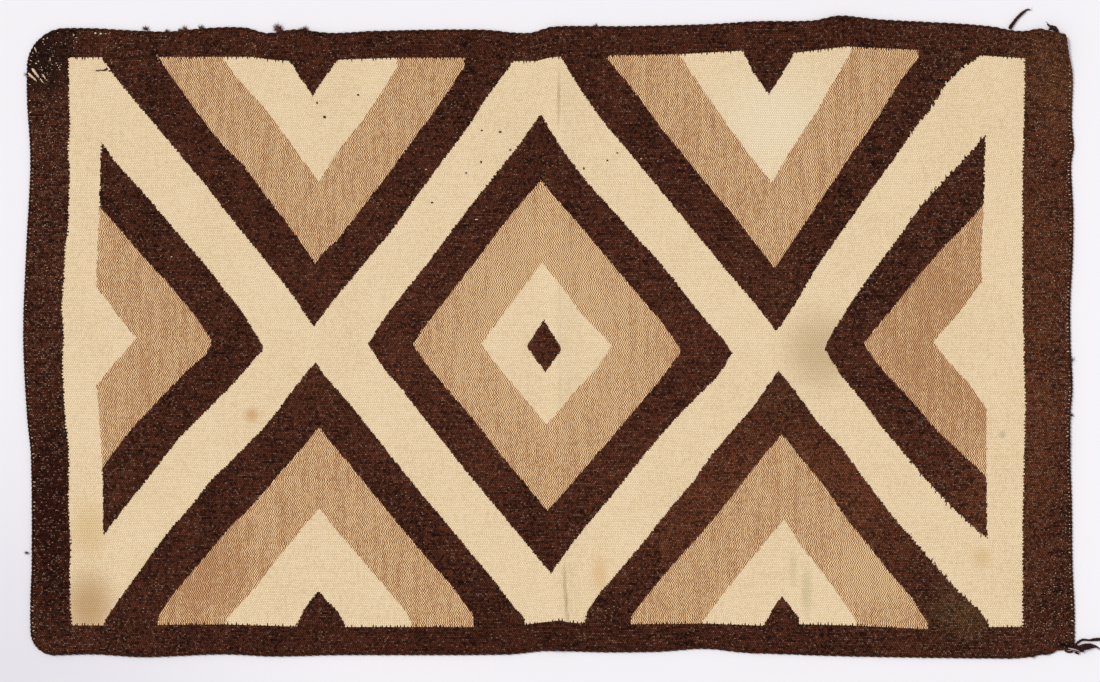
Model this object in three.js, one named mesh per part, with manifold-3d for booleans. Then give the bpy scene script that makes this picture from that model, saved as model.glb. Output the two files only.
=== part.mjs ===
// A handwoven wool rug, weft-faced, laid out flat with its face up.
// Millimetres. +X runs along the warps, the long way of the rug. +Y runs along the wefts. +Z is up.
// The woven body is one thin sheet with the wavering outline of handwork and the low rises in which
// it lies. A two-ply cord finishes each of its four edges. A knotted tie, a loose end and a tuft of
// yarn lie on the floor beside it. Outlines are worked out from the tables of edges below.

import * as THREE from 'three';
import Module from 'manifold-3d';
import { mergeVertices } from 'three/addons/utils/BufferGeometryUtils.js';

// Driving dimensions
const HALF_LENGTH = 756.5; // from the rug's middle to the straight line of an end
const HALF_WIDTH = 454; // from the rug's middle to the straight line of a side
const CLOTH_THICKNESS = 3;
const CLOTH_EDGE_ROUND = 0.9; // how far the faces stop short of the cloth's outermost edge
const CORD_RADIUS = 2.1;
const CORD_SIDES = 8;
const CORD_UNEVENNESS = 0.12; // share by which a cord swells and thins along its length
const CORD_SWELL_EVERY = 3; // steps from one swelling of a cord to the next
const CORD_END_SHORTFALL = 1.2; // a cord stops this far before the corner
const PIECE_GAP = 0.3;
const YARN_SIDES = 4;

// Corner radii of the whole rug, cords included
const CORNERS = {
  topLeft: 54,
  topRight: 6,
  bottomRight: 14,
  bottomLeft: 36,
};

// How far each edge stands out from its straight line, at places along it
const TOP_EDGE = [
  { along: -757, out: -3 },
  { along: -670, out: -2 },
  { along: -557, out: -7 },
  { along: -500, out: -2 },
  { along: -444, out: -1 },
  { along: -410, out: -9 },
  { along: -369, out: -4 },
  { along: -318, out: -9 },
  { along: -254, out: -6 },
  { along: -102, out: -4 },
  { along: -32, out: -9 },
  { along: 5, out: 0 },
  { along: 120, out: 1 },
  { along: 236, out: 4 },
  { along: 302, out: 8 },
  { along: 385, out: 9 },
  { along: 424, out: 16 },
  { along: 478, out: 11 },
  { along: 610, out: 4 },
  { along: 650, out: 0 },
  { along: 680, out: -5.5 },
  { along: 697, out: -6 },
  { along: 718, out: -3 },
  { along: 737, out: -7.5 },
  { along: 757, out: -11 },
];
const BOTTOM_EDGE = [
  { along: -757, out: 5 },
  { along: -666, out: 2 },
  { along: -594, out: 6 },
  { along: -478, out: 2 },
  { along: -402, out: 5 },
  { along: -311, out: 3 },
  { along: -210, out: 3 },
  { along: -60, out: 2 },
  { along: -4, out: -3 },
  { along: 78, out: -1 },
  { along: 160, out: -2 },
  { along: 221, out: -6 },
  { along: 285, out: 0 },
  { along: 317, out: 1 },
  { along: 437, out: 5 },
  { along: 663, out: 8 },
  { along: 690, out: 6 },
  { along: 704, out: 3 },
  { along: 721, out: 1.5 },
  { along: 730, out: -3 },
  { along: 739, out: -4 },
  { along: 757, out: -2 },
];
const LEFT_EDGE = [
  { along: -454, out: -4 },
  { along: -380, out: -3 },
  { along: -322, out: -5 },
  { along: -170, out: -4 },
  { along: -106, out: 2 },
  { along: 7, out: 7 },
  { along: 130, out: 3 },
  { along: 261, out: -3 },
  { along: 360, out: 2 },
  { along: 454, out: 0 },
];
const RIGHT_EDGE = [
  { along: -454, out: 4 },
  { along: -396, out: 4 },
  { along: -331, out: 1 },
  { along: -238, out: 0 },
  { along: -174, out: -2 },
  { along: -106, out: -2 },
  { along: -70, out: 1 },
  { along: 1, out: -2 },
  { along: 63, out: -2 },
  { along: 117, out: 1 },
  { along: 191, out: 2 },
  { along: 258, out: -1 },
  { along: 288, out: 3 },
  { along: 323, out: 0 },
  { along: 391, out: 1 },
  { along: 424, out: -5 },
  { along: 454, out: -9 },
];

// Low rises in which the cloth lies, each a smooth swelling round its middle
const RISES = [
  { what: 'crease of an old fold', x: 14, y: 0, reachX: 30, reachY: 2400, height: 2.2 },
  { what: 'curl of the top right corner', x: 775, y: 475, reachX: 110, reachY: 130, height: 8 },
  { what: 'ripple at the top left', x: -365, y: 470, reachX: 80, reachY: 90, height: 1.6 },
  { what: 'ripple at the top right', x: 424, y: 480, reachX: 90, reachY: 110, height: 1.8 },
  { what: 'ripple at the right end', x: 770, y: -130, reachX: 80, reachY: 90, height: 1.4 },
  { what: 'ripple at the left end', x: -770, y: 5, reachX: 80, reachY: 120, height: 1.4 },
];

// Rows of points over the cloth: finer near the ends, the sides and the crease
const STEPS_ALONG_X = [
  { to: -700, step: 14 },
  { to: -22, step: 34 },
  { to: 50, step: 12 },
  { to: 692, step: 34 },
  { to: HALF_LENGTH, step: 8 },
];
const STEPS_ALONG_Y = [
  { to: -420, step: 9 },
  { to: 400, step: 34 },
  { to: HALF_WIDTH, step: 9 },
];

// Loose yarn on the floor, each strand with its half-width at places along it
const TIE_KNOT = { x: 761.8, y: -448.6, reachX: 5.6, reachY: 5, height: 6.4 };
const KNOT_UPPER_SHARE = 0.6; // share of the knot's height above its widest line
const TIE_STRANDS = [
  [
    { x: 763.4, y: -446.5, half: 1.4 },
    { x: 764.2, y: -441.5, half: 1.4 },
    { x: 766.8, y: -437.4, half: 1.5 },
    { x: 771, y: -435, half: 1.5 },
    { x: 776, y: -434.6, half: 1.4 },
    { x: 781, y: -435.4, half: 1.2 },
    { x: 789, y: -434.4, half: 1.9 },
    { x: 798, y: -434, half: 1.8 },
    { x: 806, y: -435.5, half: 1.2 },
    { x: 812, y: -438, half: 0.6 },
  ],
  [
    { x: 762, y: -447.5, half: 2.6 },
    { x: 768, y: -446.2, half: 2.9 },
    { x: 774, y: -445, half: 3.6 },
    { x: 781, y: -443.9, half: 3.1 },
    { x: 788, y: -444, half: 1.9 },
    { x: 794, y: -445.6, half: 0.9 },
    { x: 797, y: -448.6, half: 0.5 },
  ],
  [
    { x: 764, y: -447.5, half: 2.2 },
    { x: 768.5, y: -448.2, half: 2.4 },
    { x: 771.5, y: -449.4, half: 2.1 },
    { x: 773, y: -451.4, half: 0.9 },
  ],
  [
    { x: 760.5, y: -450, half: 1.5 },
    { x: 762.5, y: -453.6, half: 1.2 },
    { x: 766.5, y: -455.2, half: 0.7 },
  ],
  [
    { x: 759.5, y: -450.5, half: 1.4 },
    { x: 754.5, y: -454.4, half: 1.4 },
    { x: 748, y: -455.2, half: 0.8 },
  ],
];
const TOP_LOOSE_END = [
  { x: 666.2, y: 451.6, half: 2.2 },
  { x: 671.5, y: 459.5, half: 2.1 },
  { x: 678, y: 467.5, half: 1.9 },
  { x: 685.5, y: 474.5, half: 1.7 },
  { x: 691.5, y: 478.6, half: 1 },
  { x: 696, y: 478.6, half: 0.6 },
];
const CORNER_TUFT = [
  { x: 720.5, y: 457.5, half: 0.5 },
  { x: 724.5, y: 454.8, half: 1.2 },
  { x: 729, y: 453.2, half: 2.2 },
  { x: 733, y: 450.5, half: 2.4 },
  { x: 735.5, y: 446.5, half: 1.8 },
  { x: 736.5, y: 443.2, half: 0.9 },
];

const DARK_WOOL = new THREE.Color().setRGB(0.27, 0.15, 0.1, THREE.SRGBColorSpace);
const CREAM_WOOL = new THREE.Color().setRGB(0.93, 0.85, 0.68, THREE.SRGBColorSpace);
const BODY_INSET = 2 * CORD_RADIUS + PIECE_GAP;

const wasm = await Module();
wasm.setup();

// The height of a smooth curve through a table of edges, at a place along the edge
function edgeOut(rows, at) {
  const place = THREE.MathUtils.clamp(at, rows[0].along, rows[rows.length - 1].along);
  let i = 0;
  while (i < rows.length - 2 && rows[i + 1].along < place) i += 1;
  const slope = (k) => {
    const before = rows[Math.max(k - 1, 0)];
    const after = rows[Math.min(k + 1, rows.length - 1)];
    return (after.out - before.out) / (after.along - before.along);
  };
  const span = rows[i + 1].along - rows[i].along;
  const t = (place - rows[i].along) / span;
  const ease = t * t * (3 - 2 * t);
  const leave = slope(i) * span * t * (1 - t) * (1 - t);
  const arrive = slope(i + 1) * span * t * t * (1 - t);
  return THREE.MathUtils.lerp(rows[i].out, rows[i + 1].out, ease) + leave - arrive;
}

// Takes a point of the straight rectangle to the rug's outline: round corners, then wavering edges.
// inset is how far inside the rug's outermost line the rectangle's edge lies.
function rugPoint(x, y, inset) {
  const halfLength = HALF_LENGTH - inset;
  const halfWidth = HALF_WIDTH - inset;
  let px = (x * halfLength) / HALF_LENGTH;
  let py = (y * halfWidth) / HALF_WIDTH;
  const end = px < 0 ? 'Left' : 'Right';
  const radius = CORNERS[(py > 0 ? 'top' : 'bottom') + end] - inset;
  const a = (Math.abs(px) - halfLength + radius) / radius;
  const b = (Math.abs(py) - halfWidth + radius) / radius;
  if (a > 0 && b > 0) {
    px = Math.sign(px) * (halfLength - radius + radius * a * Math.sqrt(1 - (b * b) / 2));
    py = Math.sign(py) * (halfWidth - radius + radius * b * Math.sqrt(1 - (a * a) / 2));
  }
  const endOut = edgeOut(px < 0 ? LEFT_EDGE : RIGHT_EDGE, py);
  const sideOut = edgeOut(py < 0 ? BOTTOM_EDGE : TOP_EDGE, px);
  return new THREE.Vector2(px * (1 + endOut / halfLength), py * (1 + sideOut / halfWidth));
}

// How high the underside of the cloth lies off the floor
function liftAt(x, y) {
  const bell = (distance, reach) => {
    const share = Math.min(Math.abs(distance) / reach, 1);
    return (1 + Math.cos(Math.PI * share)) / 2;
  };
  return RISES.reduce(
    (sum, rise) => sum + rise.height * bell(x - rise.x, rise.reachX) * bell(y - rise.y, rise.reachY),
    0,
  );
}

// Places from -half to half, with each row's step up to where it reaches
function stations(half, rows) {
  const places = [-half];
  for (const { to, step } of rows) {
    const from = places[places.length - 1];
    const count = Math.round((to - from) / step);
    for (let i = 1; i <= count; i += 1) places.push(from + ((to - from) * i) / count);
  }
  return places;
}

const ACROSS = stations(HALF_LENGTH, STEPS_ALONG_X);
const UPWARD = stations(HALF_WIDTH, STEPS_ALONG_Y);

// The points of the four edges, each from its first corner to its last, anticlockwise round the rug
const LAST_X = ACROSS.length - 1;
const LAST_Y = UPWARD.length - 1;
const EDGE_STATIONS = {
  bottom: ACROSS.map((x) => [x, UPWARD[0]]),
  right: UPWARD.map((y) => [ACROSS[LAST_X], y]),
  top: ACROSS.map((x) => [x, UPWARD[LAST_Y]]).reverse(),
  left: UPWARD.map((y) => [ACROSS[0], y]).reverse(),
};

function asMesh(name, positions, faces, colour) {
  const geometry = new THREE.BufferGeometry();
  geometry.setAttribute('position', new THREE.Float32BufferAttribute(positions, 3));
  geometry.setIndex(faces);
  geometry.computeVertexNormals();
  const material = new THREE.MeshStandardMaterial({ color: colour, roughness: 0.95, metalness: 0 });
  const mesh = new THREE.Mesh(geometry, material);
  mesh.name = name;
  return mesh;
}

// The woven body: an upper and a lower face on one grid, with a rounded rim between them
function rugBody() {
  const positions = [];
  const faces = [];
  const addPoint = (point, height) => {
    positions.push(point.x, point.y, liftAt(point.x, point.y) + height);
    return positions.length / 3 - 1;
  };
  const grid = (height) =>
    UPWARD.map((y) => ACROSS.map((x) => addPoint(rugPoint(x, y, BODY_INSET + CLOTH_EDGE_ROUND), height)));
  const under = grid(0);
  const upper = grid(CLOTH_THICKNESS);

  for (let j = 0; j < LAST_Y; j += 1) {
    for (let i = 0; i < LAST_X; i += 1) {
      // The diagonal runs into the nearest corner of the rug, so no face there is flattened
      const rising = i < LAST_X / 2 === j < LAST_Y / 2;
      for (const [face, flip] of [[upper, false], [under, true]]) {
        const quad = [face[j][i], face[j][i + 1], face[j + 1][i + 1], face[j + 1][i]];
        const [a, b, c, d] = rising ? quad : [quad[1], quad[2], quad[3], quad[0]];
        faces.push(...(flip ? [a, c, b, a, d, c] : [a, b, c, a, c, d]));
      }
    }
  }

  const ringOf = (face) => [
    ...face[0].slice(0, -1),
    ...face.slice(0, -1).map((row) => row[LAST_X]),
    ...face[LAST_Y].slice(1).reverse(),
    ...face.slice(1).map((row) => row[0]).reverse(),
  ];
  const rimPoints = Object.values(EDGE_STATIONS).flatMap((edge) => edge.slice(0, -1));
  const rim = rimPoints.map(([x, y]) => addPoint(rugPoint(x, y, BODY_INSET), CLOTH_THICKNESS / 2));
  const bands = [[ringOf(under), rim], [rim, ringOf(upper)]];
  for (const [lower, higher] of bands) {
    for (let i = 0; i < rim.length; i += 1) {
      const next = (i + 1) % rim.length;
      faces.push(lower[i], lower[next], higher[next], lower[i], higher[next], higher[i]);
    }
  }
  return asMesh('rug_body', positions, faces, CREAM_WOOL);
}

// Closes a row of rings, each of the same number of points, into one solid
function ringFaces(ringCount, sides) {
  const faces = [];
  for (let r = 0; r < ringCount - 1; r += 1) {
    for (let s = 0; s < sides; s += 1) {
      const next = (s + 1) % sides;
      const [a, b] = [r * sides + s, r * sides + next];
      faces.push(a, b, b + sides, a, b + sides, a + sides);
    }
  }
  const last = (ringCount - 1) * sides;
  for (let s = 1; s < sides - 1; s += 1) {
    faces.push(0, s + 1, s);
    faces.push(last, last + s, last + s + 1);
  }
  return faces;
}

// A cord along one edge. Its inner side stays a gap clear of the cloth's rim, point for point.
function edgeCord(name, edge) {
  const rim = EDGE_STATIONS[edge].map(([x, y]) => rugPoint(x, y, BODY_INSET));
  const last = rim.length - 1;
  const pull = (end, inner) => end.clone().add(inner.clone().sub(end).setLength(CORD_END_SHORTFALL));
  const route = [pull(rim[0], rim[1]), ...rim.slice(1, -1), pull(rim[last], rim[last - 1])];
  const positions = [];
  route.forEach((point, i) => {
    const back = i > 0 ? point.clone().sub(route[i - 1]).normalize() : null;
    const ahead = i < last ? route[i + 1].clone().sub(point).normalize() : null;
    const way = (back ?? ahead).clone().add(ahead ?? back).normalize();
    const outward = new THREE.Vector2(way.y, -way.x);
    const stretch = 1 / way.dot(back ?? ahead); // keeps the sides parallel round a bend
    const swell = Math.sin((2 * Math.PI * i) / CORD_SWELL_EVERY);
    const radius = CORD_RADIUS * (1 - (CORD_UNEVENNESS * (1 + swell)) / 2);
    const middle = PIECE_GAP + radius;
    const centre = point.clone().addScaledVector(outward, middle * stretch);
    const lift = liftAt(centre.x, centre.y);
    for (let s = 0; s < CORD_SIDES; s += 1) {
      const angle = (2 * Math.PI * (s + 0.5)) / CORD_SIDES;
      const reach = (middle + radius * Math.cos(angle)) * stretch;
      const place = point.clone().addScaledVector(outward, reach);
      const level = Math.cos(Math.PI / CORD_SIDES) * radius; // the lowest side lies on the floor
      positions.push(place.x, place.y, lift + level + radius * Math.sin(angle));
    }
  });
  return asMesh(name, positions, ringFaces(route.length, CORD_SIDES).reverse(), DARK_WOOL);
}

// A strand of yarn that lies level on the floor, square in section and thinner towards its end
function strand(rows) {
  const points = rows.map(({ x, y }) => new THREE.Vector2(x, y));
  const last = rows.length - 1;
  const positions = [];
  rows.forEach(({ half }, i) => {
    const way = points[Math.min(i + 1, last)].clone().sub(points[Math.max(i - 1, 0)]).normalize();
    const outward = new THREE.Vector2(way.y, -way.x);
    for (let s = 0; s < YARN_SIDES; s += 1) {
      const angle = (2 * Math.PI * (s + 0.5)) / YARN_SIDES;
      const place = points[i].clone().addScaledVector(outward, half * Math.SQRT2 * Math.cos(angle));
      positions.push(place.x, place.y, half + half * Math.SQRT2 * Math.sin(angle));
    }
  });
  return { positions, faces: ringFaces(rows.length, YARN_SIDES).reverse() };
}

function asSolid(positions, faces) {
  return new wasm.Manifold(
    new wasm.Mesh({
      numProp: 3,
      vertProperties: new Float32Array(positions),
      triVerts: new Uint32Array(faces),
    }),
  );
}

// The knot where the cords' ends are tied, a rounded lump with a flat underside
function knot({ x, y, reachX, reachY, height }) {
  const geometry = new THREE.IcosahedronGeometry(1, 1);
  const above = height * KNOT_UPPER_SHARE;
  geometry.scale(reachX, reachY, above);
  geometry.deleteAttribute('normal');
  geometry.deleteAttribute('uv');
  const merged = mergeVertices(geometry);
  const points = merged.attributes.position;
  for (let i = 0; i < points.count; i += 1) {
    const level = Math.max(height - above + points.getZ(i), 0);
    points.setXYZ(i, x + points.getX(i), y + points.getY(i), level);
  }
  return asSolid(points.array, merged.index.array);
}

function cornerTie() {
  const strands = TIE_STRANDS.map((rows) => strand(rows));
  const whole = strands.reduce(
    (sum, { positions, faces }) => sum.add(asSolid(positions, faces)),
    knot(TIE_KNOT),
  );
  const { vertProperties, triVerts } = whole.getMesh();
  return asMesh('corner_tie_lower_right', Array.from(vertProperties), Array.from(triVerts), DARK_WOOL);
}

function looseYarn(name, rows) {
  const { positions, faces } = strand(rows);
  return asMesh(name, positions, faces, DARK_WOOL);
}

const group = new THREE.Group();
group.add(
  rugBody(),
  edgeCord('end_cord_left', 'left'),
  edgeCord('end_cord_right', 'right'),
  edgeCord('side_cord_top', 'top'),
  edgeCord('side_cord_bottom', 'bottom'),
  cornerTie(),
  looseYarn('loose_end_top', TOP_LOOSE_END),
  looseYarn('corner_tuft_top_right', CORNER_TUFT),
);

// The origin lies on the floor under the middle of everything
const middle = new THREE.Box3().setFromObject(group).getCenter(new THREE.Vector3());
group.position.set(-middle.x, -middle.y, 0);

export default group;
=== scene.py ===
import math
import random

import bpy
import numpy as np
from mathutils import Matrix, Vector


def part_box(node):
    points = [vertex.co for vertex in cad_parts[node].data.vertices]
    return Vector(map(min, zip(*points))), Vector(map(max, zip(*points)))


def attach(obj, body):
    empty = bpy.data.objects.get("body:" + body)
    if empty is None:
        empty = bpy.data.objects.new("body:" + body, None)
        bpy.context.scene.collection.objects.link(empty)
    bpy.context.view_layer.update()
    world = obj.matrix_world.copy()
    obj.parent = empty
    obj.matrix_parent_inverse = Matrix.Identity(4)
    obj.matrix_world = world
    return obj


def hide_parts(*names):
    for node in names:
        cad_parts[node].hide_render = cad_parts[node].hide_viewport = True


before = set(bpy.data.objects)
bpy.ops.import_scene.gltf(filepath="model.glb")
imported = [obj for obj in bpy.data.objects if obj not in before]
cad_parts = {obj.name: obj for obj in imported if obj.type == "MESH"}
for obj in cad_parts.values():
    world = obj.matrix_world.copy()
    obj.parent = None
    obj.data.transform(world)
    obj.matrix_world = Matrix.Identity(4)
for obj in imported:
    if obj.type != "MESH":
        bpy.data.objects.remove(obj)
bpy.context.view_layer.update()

print("frame loaded:", ", ".join(sorted(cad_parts)))

mm = 0.001


# The rug's outline and the rises in which it lies, as in the part's source.
# Millimetres from the rug's middle, x along the warps and y along the wefts.
outline = {
    "halfLength": 756.5,
    "halfWidth": 454,
    "topLeft": 54,  # corner radii
    "topRight": 6,
    "bottomRight": 14,
    "bottomLeft": 36,
    "bodyInset": 4.5,  # from the rug's outermost line to the solid body's rim
    # (place along the edge, how far it stands out there)
    "topEdge": [
        (-757, -3), (-670, -2), (-557, -7), (-500, -2), (-444, -1), (-410, -9), (-369, -4), (-318, -9),
        (-254, -6), (-102, -4), (-32, -9), (5, 0), (120, 1), (236, 4), (302, 8), (385, 9), (424, 16),
        (478, 11), (610, 4), (650, 0), (680, -5.5), (697, -6), (718, -3), (737, -7.5), (757, -11),
    ],
    "bottomEdge": [
        (-757, 5), (-666, 2), (-594, 6), (-478, 2), (-402, 5), (-311, 3), (-210, 3), (-60, 2), (-4, -3),
        (78, -1), (160, -2), (221, -6), (285, 0), (317, 1), (437, 5), (663, 8), (690, 6), (704, 3),
        (721, 1.5), (730, -3), (739, -4), (757, -2),
    ],
    "leftEdge": [
        (-454, -4), (-380, -3), (-322, -5), (-170, -4), (-106, 2), (7, 7), (130, 3), (261, -3), (360, 2),
        (454, 0),
    ],
    "rightEdge": [
        (-454, 4), (-396, 4), (-331, 1), (-238, 0), (-174, -2), (-106, -2), (-70, 1), (1, -2), (63, -2),
        (117, 1), (191, 2), (258, -1), (288, 3), (323, 0), (391, 1), (424, -5), (454, -9),
    ],
    # (x, y, reach along x, reach along y, height)
    "rises": [
        (14, 0, 30, 2400, 2.2),  # crease of an old fold
        (775, 475, 110, 130, 8),  # curl of the top right corner
        (-365, 470, 80, 90, 1.6),  # ripples
        (424, 480, 90, 110, 1.8),
        (770, -130, 80, 90, 1.4),
        (-770, 5, 80, 120, 1.4),
    ],
}


def edgeOut(rows, at):
    # how far a smooth curve through the rows stands out, at places along the edge
    along, out = np.array(rows, float).T
    last = len(along) - 1
    order = np.arange(last + 1)
    before = np.maximum(order - 1, 0)
    after = np.minimum(order + 1, last)
    slope = (out[after] - out[before]) / (along[after] - along[before])
    place = np.clip(at, along[0], along[last])
    i = np.clip(np.searchsorted(along, place) - 1, 0, last - 1)
    span = along[i + 1] - along[i]
    t = (place - along[i]) / span
    ease = out[i] + (out[i + 1] - out[i]) * t * t * (3 - 2 * t)
    return ease + slope[i] * span * t * (1 - t) ** 2 - slope[i + 1] * span * t * t * (1 - t)


def rugPoint(x, y, inset):
    # takes points of the straight rectangle to the rug's round corners and wavering edges
    x, y = np.broadcast_arrays(np.asarray(x, float), np.asarray(y, float))
    halfLength = outline["halfLength"] - inset
    halfWidth = outline["halfWidth"] - inset
    px = x * halfLength / outline["halfLength"]
    py = y * halfWidth / outline["halfWidth"]
    upper = np.where(px < 0, outline["topLeft"], outline["topRight"])
    lower = np.where(px < 0, outline["bottomLeft"], outline["bottomRight"])
    radius = np.where(py > 0, upper, lower) - inset
    a = np.maximum((np.abs(px) - halfLength + radius) / radius, 0)
    b = np.maximum((np.abs(py) - halfWidth + radius) / radius, 0)
    inCorner = (a > 0) & (b > 0)
    roundX = np.sign(px) * (halfLength - radius + radius * a * np.sqrt(1 - b * b / 2))
    roundY = np.sign(py) * (halfWidth - radius + radius * b * np.sqrt(1 - a * a / 2))
    px, py = np.where(inCorner, roundX, px), np.where(inCorner, roundY, py)
    endOut = np.where(px < 0, edgeOut(outline["leftEdge"], py), edgeOut(outline["rightEdge"], py))
    sideOut = np.where(py < 0, edgeOut(outline["bottomEdge"], px), edgeOut(outline["topEdge"], px))
    return px * (1 + endOut / halfLength), py * (1 + sideOut / halfWidth)


def bell(distance, reach):
    return (1 + np.cos(np.pi * np.minimum(np.abs(distance) / reach, 1))) / 2


def liftAt(x, y):
    # how high the underside of the cloth lies off the floor
    return sum(
        height * bell(x - middleX, reachX) * bell(y - middleY, reachY)
        for middleX, middleY, reachX, reachY, height in outline["rises"]
    )


# The rug's middle in the frame, found from the corner of the solid body's box
rimX, rimY = rugPoint(
    *np.array(
        [(x, side * outline["halfWidth"]) for x in np.linspace(-700, 700, 1401) for side in (-1, 1)]
        + [(side * outline["halfLength"], y) for y in np.linspace(-400, 400, 801) for side in (-1, 1)]
    ).T,
    outline["bodyInset"],
)
lowCorner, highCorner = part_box("rug_body")
middleX = ((lowCorner.x + highCorner.x) / mm - rimX.min() - rimX.max()) / 2
middleY = ((lowCorner.y + highCorner.y) / mm - rimY.min() - rimY.max()) / 2
print(f"rug's middle at {middleX:.2f}, {middleY:.2f} mm of the frame")


def toFrame(x, y, z):
    # millimetres from the rug's middle to metres in the frame
    return np.stack([(x + middleX) * mm, (y + middleY) * mm, z * mm + 0 * x], axis=-1)


def makePiece(name, points, faces, finish, marks=None):
    # points in metres; marks are named values for each point that its finish reads
    mesh = bpy.data.meshes.new(name)
    mesh.from_pydata(np.reshape(points, (-1, 3)).tolist(), [], faces)
    mesh.shade_smooth()
    for mark, values in (marks or {}).items():
        mesh.attributes.new(mark, "FLOAT_VECTOR", "POINT")
        mesh.attributes[mark].data.foreach_set("vector", np.ravel(values).astype(np.float32))
    mesh.materials.append(finish)
    piece = bpy.data.objects.new(name, mesh)
    bpy.context.scene.collection.objects.link(piece)
    print(f"{name}: {sum(len(face) - 2 for face in faces)} triangles")
    return piece


# Finishes

class Wire:
    # the output of a node, which can stand in a sum
    def __init__(self, finish, socket):
        self.finish = finish
        self.socket = socket

    def __add__(self, other):
        return self.finish.maths("ADD", self, other)

    def __sub__(self, other):
        return self.finish.maths("SUBTRACT", self, other)

    def __rsub__(self, other):
        return self.finish.maths("SUBTRACT", other, self)

    def __mul__(self, other):
        return self.finish.maths("MULTIPLY", self, other)

    def __truediv__(self, other):
        return self.finish.maths("DIVIDE", self, other)

    def __gt__(self, other):
        return self.finish.maths("GREATER_THAN", self, other)

    def __lt__(self, other):
        return self.finish.maths("LESS_THAN", self, other)

    __radd__ = __add__
    __rmul__ = __mul__


class Finish:
    # a material, its nodes and the sums between them
    def __init__(self, name):
        self.material = bpy.data.materials.new(name)
        self.material.use_nodes = True
        self.tree = self.material.node_tree
        self.tree.nodes.clear()

    def node(self, kind, settings=None, values=None, output=0):
        # the settings go in first, then the numbers or wires of the sockets
        made = self.tree.nodes.new("ShaderNode" + kind)
        for name, value in (settings or {}).items():
            if name == "points":
                curve = made.mapping.curves[0]
                while len(curve.points) < len(value):
                    curve.points.new(0.5, 0.5)
                for point, place in zip(curve.points, value):
                    point.location = place
                    point.handle_type = "VECTOR"
                made.mapping.update()
            else:
                setattr(made, name, value)
        for name, value in (values or {}).items():
            if isinstance(value, Wire):
                self.tree.links.new(value.socket, made.inputs[name])
            else:
                made.inputs[name].default_value = value
        return Wire(self, made.outputs[output]) if len(made.outputs) else None

    def maths(self, operation, *values, clamp=False):
        return self.node("Math", {"operation": operation, "use_clamp": clamp}, dict(enumerate(values)))

    def vectors(self, operation, *values, output=0):
        return self.node("VectorMath", {"operation": operation}, dict(enumerate(values)), output)

    def mix(self, share, first, second, blend="MIX"):
        settings = {"data_type": "RGBA", "blend_type": blend}
        return self.node("Mix", settings, {0: share, 6: first, 7: second}, 2)

    def joined(self, x, y, z=0.0):
        return self.node("CombineXYZ", values={0: x, 1: y, 2: z})

    def parts(self, vector):
        split = self.node("SeparateXYZ", values={0: vector})
        return split, Wire(self, split.socket.node.outputs[1])

    def place(self):
        # millimetres from the rug's middle
        objectPlace = self.node("TexCoord", output="Object")
        return self.vectors("MULTIPLY_ADD", objectPlace, (1000, 1000, 0), (-middleX, -middleY, 0))

    def level(self, millimetres):
        # as a share of the drawing's reach
        return self.maths("MULTIPLY_ADD", millimetres, 1 / (2 * drawingReach), 0.5)

    def ramp(self, value, low, high, start=0.0, end=1.0):
        # from start to end as the value goes from low to high, softly
        settings = {"interpolation_type": "SMOOTHSTEP"}
        return self.node("MapRange", settings, {0: value, 1: low, 2: high, 3: start, 4: end})

    def noise(self, place, sizeX, sizeY, detail=2.0, seed=0.0):
        # cloudy noise from 0 to 1, with sizes in the place's own units
        scaled = self.vectors("MULTIPLY_ADD", place, (1 / sizeX, 1 / sizeY, 1), (seed, seed * 0.7, 0))
        settings = {"noise_dimensions": "2D"}
        return self.node("TexNoise", settings, {"Vector": scaled, "Scale": 1.0, "Detail": detail})

    def line(self, at, points):
        # a drawn line, as its height in shares of the drawing's reach
        start, end = points[0][0], points[-1][0]
        places = [((a - start) / (end - start), drawn(b)) for a, b in points]
        share = self.maths("MULTIPLY_ADD", at, 1 / (end - start), -start / (end - start), clamp=True)
        return self.node("FloatCurve", {"points": places}, {"Value": share})

    def spot(self, place, x, y, reachX, reachY, soft=0.9):
        # 1 inside an ellipse, with a soft edge
        away = self.vectors("SUBTRACT", place, (x, y, 0))
        scaled = self.vectors("DIVIDE", away, (reachX, reachY, 1))
        return self.ramp(self.vectors("LENGTH", scaled, output=1), 1.0, 1.0 - soft)

    def patched(self, place, colour, patches):
        # soft ellipses of other colours laid over the colour
        for x, y, reachX, reachY, patch, strength in patches:
            share = self.spot(place, x, y, reachX, reachY) * strength
            colour = self.mix(share, colour, patch)
        return colour

    def done(self, colour, roughness, height, reach, sheen):
        # height in millimetres
        bump = self.node("Bump", values={"Strength": 1.0, "Distance": reach, "Height": height})
        wool = self.node(
            "BsdfPrincipled",
            values={
                "Base Color": colour,
                "Roughness": roughness,
                "Normal": bump,
                "Specular IOR Level": 0.06,
                "Sheen Weight": sheen,
                "Sheen Roughness": 0.6,
            },
        )
        self.node("OutputMaterial", values={"Surface": wool})
        return self.material


def shaded(colour, share):
    # the colour at another strength of light
    return tuple(value * share for value in colour[:3]) + (1,)


drawingReach = 800


def drawn(level):
    return (level + drawingReach) / (2 * drawingReach)


def wool(red, green, blue):
    # a colour of the screen, 0 to 255, as light
    def light(value):
        share = value / 255
        return share / 12.92 if share <= 0.04045 else ((share + 0.055) / 1.055) ** 2.4

    return (light(red), light(green), light(blue), 1)


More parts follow.
